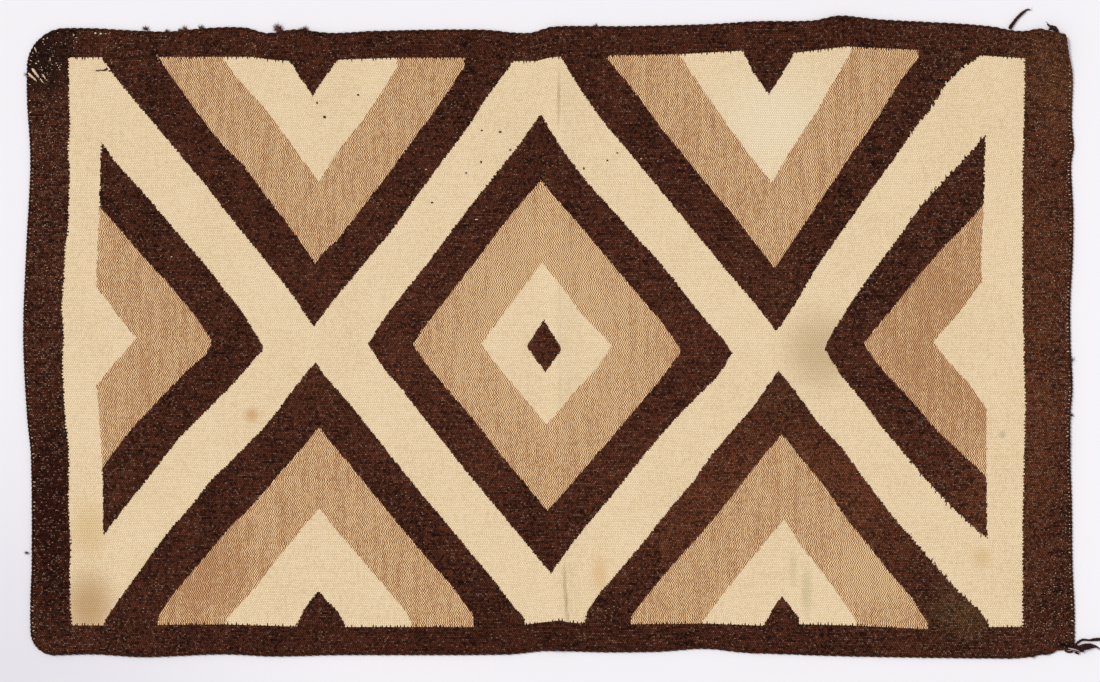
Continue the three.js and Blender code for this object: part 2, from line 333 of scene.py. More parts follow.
# The figures woven in the cloth, in millimetres from the rug's middle. Each chevron has the lines of
# its dark, tan, cream and innermost dark bands, one inside another, and so has each diamond.
chevronsAbove = [
    [  # top left
        [(-652, 440), (-650, 409), (-626, 376), (-597, 341), (-567, 306), (-501, 227), (-453, 165),
         (-427, 134), (-372, 64), (-343, 20), (-312, 60), (-268, 113), (-231, 157), (-200, 200),
         (-156, 260), (-121, 306), (-94, 349), (-73, 378), (-55, 401), (-52, 440)],
        [(-571, 440), (-569, 410), (-508, 324), (-472, 279), (-445, 253), (-411, 207), (-367, 149),
         (-340, 110), (-331, 124), (-310, 142), (-276, 186), (-238, 235), (-202, 285), (-166, 333),
         (-133, 382), (-124, 394), (-123, 440)],
        [(-478, 440), (-476, 411), (-450, 375), (-411, 333), (-391, 306), (-368, 274), (-335, 229),
         (-309, 272), (-281, 306), (-248, 353), (-222, 396), (-218, 440)],
        [(-380, 440), (-377, 404), (-362, 380), (-344, 354), (-336, 368), (-308, 406), (-305, 440)],
    ],
    [  # top right
        [(14, 440), (16, 410), (39, 371), (71, 324), (133, 250), (195, 175), (258, 98), (297, 53),
         (328, 13), (355, 52), (384, 103), (420, 154), (457, 207), (496, 260), (531, 310), (556, 340),
         (571, 368), (592, 390), (623, 411), (626, 440)],
        [(81, 440), (83, 406), (120, 362), (155, 314), (205, 252), (230, 221), (257, 190), (297, 140),
         (325, 103), (370, 170), (407, 224), (440, 274), (474, 321), (509, 378), (533, 407),
         (535, 440)],
        [(185, 440), (187, 414), (217, 368), (256, 313), (294, 261), (321, 228), (348, 274),
         (385, 329), (402, 360), (420, 390), (440, 425), (443, 445)],
        [(277, 440), (279, 419), (294, 388), (317, 356), (336, 386), (354, 416), (356, 440)],
    ],
]
chevronsBelow = [
    [  # bottom left
        [(-649, -440), (-646, -407), (-616, -364), (-594, -335), (-573, -304), (-550, -275),
         (-520, -241), (-493, -205), (-463, -177), (-439, -152), (-413, -126), (-392, -99), (-372, -72),
         (-352, -47), (-340, -33), (-327, -52), (-289, -95), (-259, -133), (-226, -175), (-189, -221),
         (-157, -258), (-122, -301), (-88, -341), (-53, -387), (-37, -404), (-34, -440)],
        [(-572, -440), (-567, -398), (-549, -371), (-510, -325), (-467, -274), (-433, -241),
         (-411, -215), (-391, -191), (-373, -171), (-353, -148), (-335, -126), (-320, -146),
         (-289, -181), (-260, -218), (-229, -255), (-191, -301), (-168, -328), (-143, -355),
         (-112, -398), (-108, -440)],
        [(-474, -440), (-469, -404), (-429, -361), (-399, -321), (-361, -275), (-334, -244),
         (-305, -282), (-273, -318), (-240, -357), (-210, -393), (-201, -410), (-199, -440)],
        [(-370, -440), (-367, -412), (-355, -388), (-336, -364), (-322, -380), (-308, -394),
         (-297, -414), (-295, -440)],
    ],
    [  # bottom right
        [(48, -440), (51, -398), (72, -367), (107, -327), (138, -290), (172, -247), (207, -206),
         (230, -172), (261, -135), (287, -106), (300, -89), (316, -66), (331, -45), (356, -76),
         (386, -118), (424, -159), (458, -206), (493, -252), (527, -292), (564, -335), (590, -364),
         (619, -390), (636, -413), (639, -440)],
        [(116, -440), (118, -398), (152, -355), (191, -310), (226, -272), (261, -229), (294, -186),
         (324, -149), (336, -136), (362, -169), (398, -212), (427, -255), (459, -295), (493, -338),
         (524, -373), (547, -410), (549, -440)],
        [(219, -440), (221, -408), (249, -370), (286, -324), (321, -281), (340, -260), (363, -298),
         (393, -335), (423, -376), (444, -408), (446, -440)],
        [(307, -440), (310, -413), (323, -389), (336, -372), (348, -387), (360, -404), (364, -440)],
    ],
]
diamonds = [
    {  # the half diamond at the left end
        "side": [(-310, -647), (-229, -648), (-184, -649), (-115, -653), (-67, -657), (101, -657),
                 (192, -653), (310, -650)],
        "bands": [
            ([(-662, 297), (-651, 286), (-624, 250), (-583, 206), (-557, 174), (-529, 142), (-492, 99),
              (-472, 72), (-450, 46), (-423, 2), (-415, -13), (-413, -60)],
             [(-662, -297), (-646, -281), (-614, -239), (-576, -191), (-539, -143), (-511, -115),
              (-468, -72), (-443, -45), (-425, -23), (-415, -13), (-413, 60)]),
            ([(-662, 203), (-651, 192), (-624, 161), (-583, 114), (-552, 81), (-519, 41), (-492, 2),
              (-490, -2), (-488, -60)],
             [(-662, -198), (-649, -186), (-620, -146), (-599, -121), (-575, -96), (-528, -47),
              (-500, -23), (-490, -2), (-488, 60)]),
            ([(-662, 84), (-655, 73), (-641, 56), (-628, 37), (-613, 19), (-600, 3), (-598, -60)],
             [(-662, -73), (-656, -65), (-636, -39), (-609, -9), (-600, 3), (-598, 60)]),
        ],
    },
    {  # the diamond in the middle
        "bands": [
            ([(-266, -60), (-264, -6), (-240, 31), (-212, 68), (-182, 105), (-154, 142), (-127, 179),
              (-39, 290), (-14, 327), (15, 279), (53, 228), (89, 189), (131, 142), (156, 115),
              (178, 88), (222, 32), (251, 0), (263, -19), (265, -60)],
             [(-266, 60), (-264, -6), (-239, -43), (-214, -72), (-193, -100), (-149, -155),
              (-128, -182), (-106, -209), (-62, -261), (-18, -315), (1, -338), (35, -290), (86, -229),
              (120, -186), (156, -142), (194, -100), (239, -56), (254, -36), (263, -19), (265, 60)]),
            ([(-202, -60), (-200, -6), (-176, 28), (-149, 62), (-123, 96), (-96, 130), (-71, 164),
              (-43, 198), (-14, 232), (17, 196), (58, 149), (97, 102), (138, 54), (164, 24),
              (189, -13), (191, -60)],
             [(-202, 60), (-200, -6), (-177, -39), (-145, -77), (-108, -120), (-70, -169), (-39, -206),
              (-4, -248), (17, -225), (52, -184), (88, -143), (124, -100), (156, -63), (187, -22),
              (189, -13), (191, 60)]),
            ([(-102, -60), (-100, -6), (-12, 112), (17, 77), (45, 38), (80, 2), (89, -9), (91, -60)],
             [(-102, 60), (-100, -6), (-73, -42), (-44, -76), (-5, -123), (7, -109), (35, -75),
              (67, -42), (89, -9), (91, 60)]),
            ([(-35, -60), (-34, -9), (-9, 29), (16, -14), (17, -60)],
             [(-35, 60), (-34, -9), (-7, -46), (16, -14), (17, 60)]),
        ],
    },
    {  # the half diamond at the right end
        "side": [(-310, 634), (-197, 632), (-106, 632), (79, 626), (116, 624), (193, 628), (310, 631)],
        "bands": [
            ([(396, -60), (398, -13), (403, 0), (428, 41), (462, 91), (500, 141), (534, 189),
              (569, 228), (606, 267), (631, 297), (642, 310)],
             [(396, 60), (398, -13), (420, -49), (451, -86), (480, -125), (517, -169), (549, -206),
              (589, -248), (619, -275), (635, -288), (642, -297)]),
            ([(451, -60), (453, -6), (468, 13), (502, 54), (536, 96), (569, 134), (596, 161),
              (625, 193), (642, 211)],
             [(451, 60), (453, -6), (483, -46), (521, -86), (560, -132), (597, -166), (629, -196),
              (642, -209)]),
            ([(553, -60), (555, -3), (574, 19), (598, 46), (623, 81), (642, 106)],
             [(553, 60), (555, -3), (578, -32), (609, -66), (632, -100), (642, -115)]),
        ],
    },
]
border = {
    "left": [(-420, -691), (-393, -694), (-363, -695), (-334, -696), (-305, -694), (-276, -695),
             (-247, -697), (-160, -697), (-131, -700), (-102, -703), (-73, -704), (-44, -706),
             (-15, -705), (14, -704), (43, -707), (72, -705), (101, -703), (130, -702), (159, -698),
             (188, -697), (217, -696), (246, -695), (275, -698), (304, -695), (333, -696), (420, -697)],
    "right": [(-420, 685), (-274, 685), (-160, 687), (-89, 689), (-32, 687), (87, 685), (248, 685),
              (322, 687), (420, 688)],
    "top": [(-710, 409), (-570, 410), (-432, 410), (-406, 406), (-377, 404), (-306, 406), (-219, 409),
            (-122, 409), (-53, 404), (-21, 404), (-1, 409), (13, 410), (83, 412), (187, 414),
            (279, 419), (354, 416), (396, 421), (428, 425), (534, 420), (625, 412), (657, 410),
            (700, 407)],
    "bottom": [(-710, -414), (-572, -413), (-474, -412), (-377, -415), (-297, -416), (-106, -416),
               (-32, -412), (-1, -408), (16, -406), (26, -409), (50, -411), (121, -412), (224, -411),
               (309, -414), (363, -412), (443, -414), (548, -419), (640, -416), (700, -416)],
    "fingerPitch": 5.2,  # fingers of the yarns where they turn back round one warp
    "fingerWidth": 2.4,
    "fingerHeight": 4.4,
    "hook": 0.6,  # the step from one warp to the next where the wefts change at an end
    "stray": 1.7,  # how far the changes of wool stray from their lines
    "shift": 0.2,  # of all the lines along the warps
    "spread": 0.9,  # how far the dark wool reaches past its lines
}
# Spikes on the figures' edges near the right end
teeth = {"pitch": 7.4, "width": 2.8, "height": 6.5, "reach": (520, 646)}

cloth = {
    "thickness": 3.0,
    "warps": 371,
    "ribRows": (0.0, 0.28, 0.72),  # rows of points across each warp's rib, in shares of its pitch
    "ribDepth": 0.34,
    "wobble": 0.7,  # how far the warps waver
    "weftPitch": 3.2,  # from one bead of a rib to the next, which takes two wefts
    "unevenness": 0.35,
    "inset": 3.0,  # the cloth's rim lies against the cords, under their outer halves
    "rimRound": 0.8,
    "columns": [(-728, 7), (-22, 28), (50, 6), (672, 28), (756.5, 6)],  # up to, and the step to it
    "underRows": 21,  # rows of the upper face to each row of the plain underside
    "creamWool": wool(255, 229, 189),
    "creamShade": wool(228, 198, 150),
    "tanLight": wool(255, 214, 162),
    "tanShade": wool(214, 163, 116),
    # painted shade in the gaps between tan beads
    "tanGapPaintedShade": wool(76, 30, 8),
    "darkWool": wool(108, 58, 39),
    "darkDeep": wool(18, 4, 2),
    "darkBrown": wool(162, 126, 104),  # the flecks in the dark wool
    "fleckStrength": 0.6,
    "fleckLimits": (0.86, 0.7),  # chance above which a bead has a fleck, inside and at the ends
    "paintedFurrowShade": 0.45,  # painted shade of the furrows between ribs
    "paintedGapShade": 0.55,  # painted shade of the gaps between beads
    "paintedShadeDepth": 0.5,  # how much both painted shades darken cream wool, and how much more or less the others
    "paintedShadeMoreDark": 0.6,
    "paintedShadeLessTan": 0.4,
}
warpPitch = 2 * outline["halfWidth"] / cloth["warps"]

# Places where the wool is of another tone: (x, y, reach along x and y, colour, strength)
darkPatches = [
    (0, 0, 640, 350, wool(104, 57, 40), 0.3),  # the figures
    (-735, 405, 75, 85, wool(28, 16, 13), 0.8),  # the worn corner
    (-725, -250, 60, 260, wool(42, 8, 3), 0.8),
    (735, 380, 110, 120, wool(98, 60, 34), 0.7),  # the faded right end
    (720, 60, 70, 460, wool(108, 61, 38), 0.6),
    (598, -392, 76, 64, wool(92, 66, 40), 0.65),  # the olive stain
    (-340, -60, 60, 60, wool(94, 54, 32), 0.5),
    (331, -90, 60, 50, wool(94, 58, 36), 0.55),
    (345, 60, 70, 60, wool(90, 54, 36), 0.4),
    (320, -240, 330, 190, wool(122, 69, 44), 0.6),
    (650, -200, 110, 260, wool(122, 70, 44), 0.4),
    (-100, -440, 620, 55, wool(62, 26, 16), 0.4),
    (745, -443, 20, 11, wool(16, 8, 8), 0.95),  # by the tie
]
# stains on the cream wool, and painted shade along the crease
creamStainsAndCreaseShade = [
    (-432, -109, 16, 17, wool(222, 176, 124), 0.8),  # stains
    (655, -138, 8, 8, wool(178, 166, 138), 0.5),
    (625, -315, 24, 24, wool(232, 196, 140), 0.6),
    (372, -365, 12, 50, wool(206, 190, 144), 0.5),
    (352, -330, 8, 40, wool(210, 192, 146), 0.4),
    (-668, -275, 40, 60, wool(232, 196, 140), 0.6),
    (-668, -385, 56, 74, wool(200, 158, 108), 0.8),
    (-560, -345, 70, 60, wool(236, 206, 152), 0.4),
    (72, -340, 18, 42, wool(240, 198, 146), 0.7),
    (392, -15, 75, 85, wool(200, 170, 126), 0.6),
    (325, 320, 120, 110, wool(255, 240, 208), 0.6),
    (12.6, 350, 4, 60, wool(186, 160, 118), 0.5),  # painted shade along the crease
    (21, -350, 4, 40, wool(186, 160, 118), 0.5),
    (23.5, -380, 3.5, 30, wool(186, 160, 118), 0.7),
    (26, -402, 3, 14, wool(186, 160, 118), 0.5),
    # painted shade along the crease, faint and long
    (14, 0, 5, 300, wool(214, 196, 160), 0.25),
]
# Where the tan wool is darker or lighter: (x, y, reach along x and y, shift)
tanTones = [
    (-520, -330, 130, 120, 0.5),
    (570, 0, 180, 300, 0.34),
    (0, 30, 200, 230, -0.35),
    (470, -330, 110, 90, -0.4),
    (-560, 0, 150, 260, 0.06),
    (-20, 0, 180, 250, -0.05),
]


def fingers(f, x, pitch, width, height):
    # a comb of narrow fingers of chance length, in shares of the drawing's reach
    cells = x / pitch
    cell = f.maths("FLOOR", cells)
    chance = f.node("TexWhiteNoise", {"noise_dimensions": "1D"}, {"W": cell}, "Color")
    size, shift = f.parts(chance)
    away = f.maths("ABSOLUTE", cells - cell - 0.5 + (shift - 0.5) * 0.7)
    shape = f.maths("MAXIMUM", 1 - away * (2 * pitch / width), 0.0)
    return f.maths("MINIMUM", shape * 1.6, 1.0) * size * (height / (2 * drawingReach))


def wovenFinish():
    f = Finish("wovenWool")
    place = f.place()
    x, y = f.parts(place)
    loom = f.node("Attribute", {"attribute_name": "loom"}, output="Vector")
    acrossWarps, alongWarps = f.parts(loom)  # counted in warps and in wefts

    # each weft shows as a bead where it passes over a warp, and the next warp's lie half a bead on
    rib = f.maths("FLOOR", acrossWarps)
    across = acrossWarps - rib
    ribChance = f.node("TexWhiteNoise", {"noise_dimensions": "1D"}, {"W": rib})
    drift = f.noise(place, 24, 15, 2.0, 8.8)
    wefts = alongWarps + f.maths("FRACT", rib * 0.5) + ribChance * 0.25 + drift * 1.5
    bead = f.maths("FLOOR", wefts)
    along = wefts - bead
    beadPlace = f.joined(bead, rib)
    toneChance = f.node("TexWhiteNoise", {"noise_dimensions": "2D"}, {"Vector": beadPlace})
    halfBead = f.maths("FRACT", wefts * 2)
    beadX = x - border["shift"] + (0.5 - halfBead) * (cloth["weftPitch"] / 2)
    beadX = beadX + (ribChance - 0.5) * border["stray"]
    beadY = y + (0.5 - across) * warpPitch
    gap = f.ramp(f.maths("COSINE", along * (2 * math.pi)), -0.15, 0.6)
    ribRise = f.maths("SINE", across * math.pi)
    furrow = 1 - ribRise
    hook = f.maths("FRACT", rib * 0.5) * (4 * border["hook"] / (2 * drawingReach))

    # figures: every band that a bead lies in takes it one deeper
    level = f.level(beadY)
    spikes = fingers(f, beadX, teeth["pitch"], teeth["width"], teeth["height"])
    spikes = spikes * (beadX > teeth["reach"][0]) * (beadX < teeth["reach"][1])
    depth = 0
    spread = border["spread"] / (2 * drawingReach)
    spreads = (spread, -spread, 0, spread)  # of each band's outer line
    for figure in chevronsAbove:
        for points, out in zip(figure, spreads):
            line = f.line(beadX, points) - out
            line = line + spikes if points is chevronsAbove[1][0] else line
            depth = (level > line) + depth
    for figure in chevronsBelow:
        for points, out in zip(figure, spreads):
            line = f.line(beadX, points) + out
            line = line + spikes if points is chevronsBelow[1][0] else line
            depth = (level < line) + depth
    columnLevel = f.level(beadX)
    for diamond in diamonds:
        within = 0
        for (upper, lower), out in zip(diamond["bands"], spreads):
            top = f.line(beadX, upper) + out
            top = top + spikes if upper is diamonds[2]["bands"][0][0] else top
            bottom = f.line(beadX, lower) - out
            bottom = bottom - spikes if lower is diamonds[2]["bands"][0][1] else bottom
            inBand = (level < top) * (level > bottom)
            within = inBand + within
        if "side" in diamond:
            side = f.line(beadY, diamond["side"])
            pastSide = columnLevel > side if diamond["side"][0][1] < 0 else columnLevel < side
            within = within * pastSide
        depth = within + depth

    # border, with its comb of fingers along the sides
    reach = fingers(f, x, border["fingerPitch"], border["fingerWidth"], border["fingerHeight"])
    height = f.level(y)
    borderShare = f.maths(
        "MAXIMUM",
        height > f.line(beadX, border["top"]) - reach,
        height < f.line(beadX, border["bottom"]) + reach,
    )
    ends = f.maths(
        "MAXIMUM",
        columnLevel + hook < f.line(beadY, border["left"]),
        columnLevel + hook > f.line(beadY, border["right"]),
    )
    borderShare = f.maths("MAXIMUM", borderShare, ends)
    tanShare = f.maths("COMPARE", depth, 2.0, 0.5) * (1 - borderShare)
    darkShare = f.maths("COMPARE", depth, 1.0, 0.5) + f.maths("COMPARE", depth, 4.0, 0.5)
    darkShare = f.maths("MAXIMUM", darkShare, borderShare)

    # cream wool
    cloud = f.noise(place, 90, 140, 3.0, 3.1)
    yarn = f.noise(place, 2.6, 60, 2.0, 7.7)
    ribPlace = f.joined(x, rib)
    ribTone = f.noise(ribPlace, 45, 1.37, 1.0, 4.1)
    creamTone = cloud * 0.35 + yarn * 0.35 + ribTone * 0.35 + toneChance * 0.55
    cream = f.mix(f.ramp(creamTone, 0.45, 1.75), cloth["creamWool"], cloth["creamShade"])
    cream = f.patched(place, cream, creamStainsAndCreaseShade)

    # tan wool: brown and cream carded together, in streaks along the wefts
    swath = f.noise(place, 13, 110, 2.0, 1.3)
    strand = f.noise(place, 4.2, 70, 2.0, 5.9)
    tanTone = swath * 0.7 + strand * 0.7 + toneChance * 0.7
    for middle, side, reachX, reachY, shift in tanTones:
        tanTone = f.spot(place, middle, side, reachX, reachY) * shift + tanTone
    tan = f.mix(f.ramp(tanTone, 0.62, 1.66), cloth["tanLight"], cloth["tanShade"])
    # painted shade in the gaps between the beads
    tan = f.mix(gap, tan, cloth["tanGapPaintedShade"])

    # dark wool, with lines along the ribs and brown flecks that lie along them
    depthTone = f.noise(place, 45, 90, 3.0, 9.3) * 0.4 + ribTone * 0.6 + toneChance * 0.65
    depthShare = f.ramp(depthTone, 0.2, 1.36)
    dark = f.mix(depthShare, cloth["darkDeep"], cloth["darkWool"])
    for *where, colour, strength in darkPatches:
        tones = f.mix(depthShare, shaded(colour, 0.3), shaded(colour, 1.9))
        dark = f.patched(place, dark, [(*where, tones, strength)])
    fleckWay = wefts * 0.9 + ribChance * 7  # the flecks' own cells along a rib
    fleckCell = f.maths("FLOOR", fleckWay)
    fleckPlace = f.joined(fleckCell, rib)
    fleckChance = f.node("TexWhiteNoise", {"noise_dimensions": "2D"}, {"Vector": fleckPlace})
    fewest = f.ramp(f.maths("ABSOLUTE", x + 60), 420, 700, *cloth["fleckLimits"])
    fromRib = f.maths("ABSOLUTE", across - 0.5)
    fromFleck = f.maths("ABSOLUTE", fleckWay - fleckCell - 0.5)
    flecks = f.ramp(fleckChance, fewest, 1.0) * f.ramp(fromRib, 0.2, 0.5, 1.0, 0.0)
    flecks = flecks * f.ramp(fromFleck, 0.25, 0.5, 1.0, 0.0)
    flecks = flecks * (1 - f.spot(place, -735, 405, 90, 100))  # fewer at the worn corner
    dark = f.mix(flecks * cloth["fleckStrength"], dark, cloth["darkBrown"])

    colour = f.mix(tanShare, cream, tan)
    colour = f.mix(darkShare, colour, dark)

    # painted shade: the furrows between ribs and between beads are a little darker
    beadRise = f.maths("SINE", along * math.pi)
    low = furrow * cloth["paintedFurrowShade"] + gap * cloth["paintedGapShade"]
    darker = cloth["paintedShadeDepth"] + darkShare * cloth["paintedShadeMoreDark"] - tanShare * cloth["paintedShadeLessTan"]
    shade = 1 - low * darker
    colour = f.mix(1.0, colour, f.joined(shade, shade, shade), "MULTIPLY")

    fibres = f.noise(place, 0.5, 1.6, 3.0, 6.1)
    relief = beadRise * ribRise * 0.2 + fibres * 0.1 + toneChance * 0.06
    roughness = f.ramp(fibres, 0.2, 0.8, 0.88, 0.98)
    return f.done(colour, roughness, relief, mm, 0.02)


print("finishes")
wovenWool = wovenFinish()


def yarnFinish(name, deep, light, fleck, fleckShare, pale, sheen):
    # wool of a cord or a loose yarn, which reads its distance along the yarn, round it, and its paleness
    f = Finish(name)
    place = f.place()
    turn = f.node("Attribute", {"attribute_name": "yarn"}, output="Vector")
    fibres = f.noise(turn, 5.0, 0.16, 3.0, 1.7)
    cloud = f.noise(place, 18, 18, 2.0, 2.3)
    colour = f.mix(f.ramp(fibres * 0.7 + cloud * 0.5, 0.35, 0.85), deep, light)
    flecks = f.ramp(f.noise(turn, 2.2, 0.5, 1.0, 8.2), fleckShare, fleckShare + 0.04)
    colour = f.mix(flecks * 0.6, colour, fleck)
    colour = f.mix(f.node("SeparateXYZ", values={0: turn}, output=2), colour, pale)
    if name == "cordWool":
        colour = f.patched(place, colour, darkPatches[1:4])  # the corners' and the left end's
    relief = fibres * 0.35
    return f.done(colour, f.ramp(fibres, 0.2, 0.8, 0.85, 0.97), relief, mm, sheen)


pinkWool = wool(200, 140, 116)
cordWool = yarnFinish(
    "cordWool", wool(32, 12, 8), wool(74, 38, 24), wool(140, 96, 70), 0.68, pinkWool, 0.02
)
looseWool = yarnFinish(
    "looseWool", wool(20, 8, 9), wool(60, 30, 28), wool(130, 84, 72), 0.72, wool(226, 192, 186), 0.03
)
warpWool = yarnFinish(
    "warpWool", wool(116, 78, 62), wool(152, 112, 90), wool(90, 60, 46), 0.66, wool(238, 208, 174), 0.02
)


# The woven body

def stations(half, rows):
    places = [-half]
    for to, step in rows:
        start = places[-1]
        count = max(round((to - start) / step), 1)
        places += [start + (to - start) * i / count for i in range(1, count + 1)]
    return np.array(places)


def waver(x, y, seed, size):
    # a slow smooth wandering between -1 and 1
    rng = random.Random(seed)
    total = 0
    for _ in range(6):
        turn = rng.uniform(0, math.pi)
        wave = rng.uniform(0.6, 1.6) / size * 2 * math.pi
        total = total + np.sin((x * math.cos(turn) + y * math.sin(turn)) * wave + rng.uniform(0, 6.3))
    return total / 3


def buildCloth():
    columns = stations(outline["halfLength"], cloth["columns"])
    places = [warp + row for warp in range(cloth["warps"]) for row in cloth["ribRows"]]
    rows = np.array(places + [cloth["warps"]])
    isFurrow = rows == np.floor(rows)
    across = rows * warpPitch - outline["halfWidth"]
    gridX, gridY = np.meshgrid(columns, across)
    inset = cloth["inset"] + cloth["rimRound"]
    x, y = rugPoint(gridX, gridY, inset)
    nearEdge = np.minimum(
        np.clip((outline["halfWidth"] - np.abs(gridY)) / 40, 0, 1),
        np.clip((outline["halfLength"] - np.abs(gridX)) / 40, 0, 1),
    )
    y = y + cloth["wobble"] * waver(x, y * 0.5, 11, 160) * nearEdge
    ribs = np.where(isFurrow, -cloth["ribDepth"], 0)[:, None]
    ribs = ribs * (1 + 0.3 * waver(x, y * 8, 5, 90))
    relief = cloth["unevenness"] * waver(x, y, 23, 130) * nearEdge
    z = liftAt(x, y) + cloth["thickness"] + ribs + relief

    upperCount = x.size
    rowCount, columnCount = x.shape
    index = np.arange(upperCount).reshape(rowCount, columnCount)

    def quads(grid):
        return np.stack([grid[:-1, :-1], grid[:-1, 1:], grid[1:, 1:], grid[1:, :-1]], -1).reshape(-1, 4)

    def ring(grid):
        # the four edges of a grid, each from its first corner to its last, anticlockwise
        return [grid[0], grid[:, -1], grid[-1][::-1], grid[:, 0][::-1]]

    faces = quads(index).tolist()
    points = [toFrame(x, y, z).reshape(-1, 3)]
    loom = np.stack([gridY * 0 + rows[:, None], gridX / cloth["weftPitch"], 0 * gridX], -1)
    marks = [loom.reshape(-1, 3)]

    # the rim, one point for each of the upper face's edge
    edges = ring(index)
    loop = np.concatenate([edge[:-1] for edge in edges])
    nominalX, nominalY = gridX.ravel()[loop], gridY.ravel()[loop]
    rimX, rimY = rugPoint(nominalX, nominalY, cloth["inset"])
    rimZ = liftAt(rimX, rimY) + cloth["thickness"] / 2
    points.append(toFrame(rimX, rimY, rimZ))
    marks.append(marks[0][loop])
    rim = upperCount + np.arange(len(loop))
    after = np.roll(np.arange(len(loop)), -1)
    faces += np.stack([loop, rim, rim[after], loop[after]], -1).tolist()

    # the plain underside, joined to the rim by fans
    step = cloth["underRows"]
    under = np.arange(rowCount // step + 1)[:, None] * columnCount + np.arange(columnCount)[None, :]
    under = under + upperCount + len(loop)
    lowX, lowY = x[::step], y[::step]
    points.append(toFrame(lowX, lowY, liftAt(lowX, lowY)).reshape(-1, 3))
    marks.append(marks[0].reshape(rowCount, columnCount, 3)[::step].reshape(-1, 3))
    faces += quads(under)[:, ::-1].tolist()
    start = 0
    for edge, lowEdge in zip(edges, ring(under)):
        count = len(edge) - 1
        share = count // (len(lowEdge) - 1)
        here = np.append(rim, rim[0])[start : start + count + 1]
        for i in range(len(lowEdge) - 1):
            fan = here[i * share : (i + 1) * share + 1]
            half = len(fan) // 2
            for k in range(len(fan) - 1):
                corner = lowEdge[i] if k < half else lowEdge[i + 1]
                faces.append([int(fan[k]), int(corner), int(fan[k + 1])])
            faces.append([int(fan[half]), int(lowEdge[i]), int(lowEdge[i + 1])])
        start += count
    return makePiece("rugCloth", np.concatenate(points), faces, wovenWool, {"loom": np.concatenate(marks)})


rugCloth = buildCloth()
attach(rugCloth, "root")
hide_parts("rug_body")


# Yarns and cords

def smoothRoute(points, step):
    # evenly spaced points on a smooth curve through the given ones
    points = np.array(points, float)
    padded = np.vstack([2 * points[0] - points[1], points, 2 * points[-1] - points[-2]])
    rows = []
    for a, b, c, d in zip(padded, padded[1:], padded[2:], padded[3:]):
        t = np.linspace(0, 1, 12, endpoint=False)[:, None]
        square = a - 2.5 * b + 2 * c - d / 2
        cube = 1.5 * (b - c) + (d - a) / 2
        rows.append(b + (c - a) * t / 2 + square * t**2 + cube * t**3)
    return respaced(np.vstack(rows + [points[-1:]]), step)


def distances(points):
    # how far along the line each point lies
    steps = np.linalg.norm(np.diff(points, axis=0), axis=1)
    return np.concatenate([[0], np.cumsum(steps)])


def respaced(points, step):
    lengths = distances(points[:, :3])
    count = max(int(lengths[-1] / step), 3)
    at = np.linspace(0, lengths[-1], count + 1)
    return np.stack([np.interp(at, lengths, column) for column in points.T], -1)


